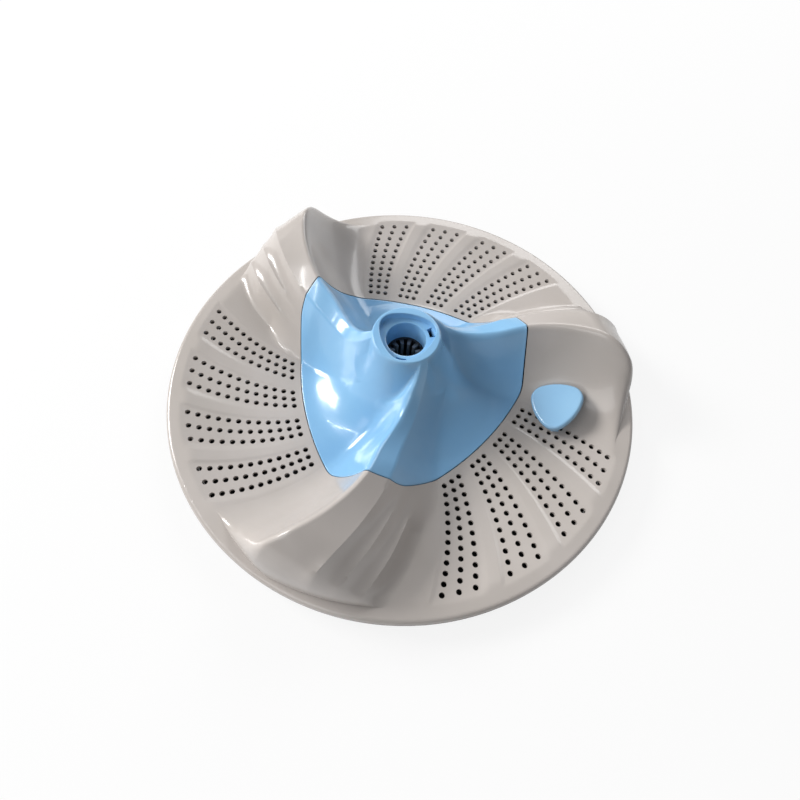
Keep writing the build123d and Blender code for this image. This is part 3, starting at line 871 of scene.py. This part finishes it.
def floorFinish():
    # Near white to the camera, but under the disc, where its holes look down, the floor is painted dark as
    # the disc's shadow
    finish = Finish("floorWhite")
    away = finish.node("ShaderNodeVectorMath", {"operation": "LENGTH"}, {0: finish.place()}, output="Value")
    outside = away.maths("GREATER_THAN", away, stage["paintedShadowRadius"])
    seen = finish.node("ShaderNodeLightPath", output="Is Camera Ray") * outside
    # Painted shadow under the disc, mixed into the floor colour by radius
    colour = finish.mix(outside, linear(*stage["paintedShadowColour"]), linear(*stage["floorColour"]))
    finish.set(Base_Color=colour, Roughness=stage["floorRoughness"])
    body = Shade(finish, finish.shader.outputs[0])
    glow = finish.node("ShaderNodeEmission", {}, {"Color": (1, 1, 1, 1), "Strength": 1.0})
    mixed = finish.node("ShaderNodeMixShader", {}, {0: seen * stage["white"], 1: body, 2: glow})
    finish.links.new(mixed.socket, finish.nodes["Material Output"].inputs["Surface"])
    return finish


def makeFloor():
    bpy.ops.object.select_all(action="DESELECT")
    bpy.ops.mesh.primitive_plane_add(size=stage["floorSize"], location=(0, 0, 0))
    floorPiece = bpy.context.object
    floorPiece.name = "floor"
    floorPiece.data.materials.append(floorFinish().material)


def makeWorld():
    # A weak bluish light all round, and plain white to the camera
    world = bpy.data.worlds.new("studio")
    bpy.context.scene.world = world
    world.use_nodes = True
    tree = world.node_tree
    glow, white = tree.nodes["Background"], tree.nodes.new("ShaderNodeBackground")
    rays, mixed = tree.nodes.new("ShaderNodeLightPath"), tree.nodes.new("ShaderNodeMixShader")
    glow.inputs["Color"].default_value = stage["worldColour"]
    glow.inputs["Strength"].default_value = stage["worldStrength"]
    white.inputs["Color"].default_value = (1, 1, 1, 1)
    tree.links.new(rays.outputs["Is Camera Ray"], mixed.inputs[0])
    tree.links.new(glow.outputs[0], mixed.inputs[1])
    tree.links.new(white.outputs[0], mixed.inputs[2])
    tree.links.new(mixed.outputs[0], tree.nodes["World Output"].inputs["Surface"])


# The lamps: place and size in metres, power in watts
lights = {
    "key": {"place": (-2.6, 0.8, 1.7), "size": (1.3, 0.9), "power": 96, "colour": (1.0, 0.985, 0.965)},
    "fill": {"place": (0.6, 1.7, 1.3), "size": (1.6, 1.1), "power": 21, "colour": (1.0, 1.0, 1.0)},
    "side": {"place": (-1.0, -1.4, 1.3), "size": (1.3, 1.0), "power": 8, "colour": (1.0, 1.0, 1.0)},
    "tube": {"place": (-0.95, -0.2, 1.2), "size": (0.6, 0.02), "power": 2.0, "colour": (1.0, 1.0, 1.0)},
}
lampAim = (0, 0, 0.03)


def makeLight(name, place, size, power, colour):
    lamp = bpy.data.lights.new(name, "AREA")
    lamp.shape, lamp.size, lamp.size_y = "RECTANGLE", size[0], size[1]
    lamp.energy, lamp.color = power, colour
    piece = added(name, lamp)
    piece.location = place
    piece.rotation_euler = (Vector(lampAim) - Vector(place)).to_track_quat("-Z", "Y").to_euler()


# Camera, solved from the holes of the photograph: angles in radians, distance in metres
camera = {
    "elevation": 1.03417, "distance": 0.42801, "pan": 0.001851, "tilt": -0.036865, "roll": -0.083560,
    "focalPixels": 522.37, "pixels": 800, "planeHeight": 0.014, "sensor": 36, "near": 0.01,
}


def makeCamera():
    elevation = camera["elevation"]
    place = camera["distance"] * Vector((0, -cos(elevation), sin(elevation)))
    forward, right = -place.normalized(), Vector((1, 0, 0))
    turn = Matrix.Rotation(camera["roll"], 3, "Z") @ Matrix.Rotation(camera["tilt"], 3, "X")
    turn = turn @ Matrix.Rotation(camera["pan"], 3, "Y")
    basis = turn @ Matrix((right, right.cross(forward), forward))
    lens = bpy.data.cameras.new("photoCamera")
    lens.sensor_width = camera["sensor"]
    lens.lens = camera["focalPixels"] / camera["pixels"] * lens.sensor_width
    lens.clip_start = camera["near"]
    piece = added("photoCamera", lens)
    facing = Matrix((basis[0], basis[1], -basis[2])).transposed().to_4x4()
    piece.matrix_world = Matrix.Translation(place + Vector((0, 0, camera["planeHeight"]))) @ facing
    bpy.context.scene.camera = piece


bpy.context.scene.view_settings.view_transform = "Standard"
settle(makeDisc(), "pulsator_disc", mouldedPlastic("greyPlastic", disc))
print("disc done")
settle(makeCover(), "centre_cover", mouldedPlastic("bluePlastic", cover))
print("cover done")
settle(makeCap(), "cap", mouldedPlastic("capPlastic", cap))
print("cap done")
insertPiece = copyOf("drive_insert", "driveInsert", insert["smoothAngle"])
settle(insertPiece, "drive_insert", insertFinish())
screwPieces = copyOf("cover_screws", "coverScrews", screws["smoothAngle"])
settle(screwPieces, "cover_screws", steelFinish())
print("small pieces done")
makeFloor()
makeWorld()
for name, settings in lights.items():
    makeLight(name, **settings)
makeCamera()
print("floor, lights and camera done")
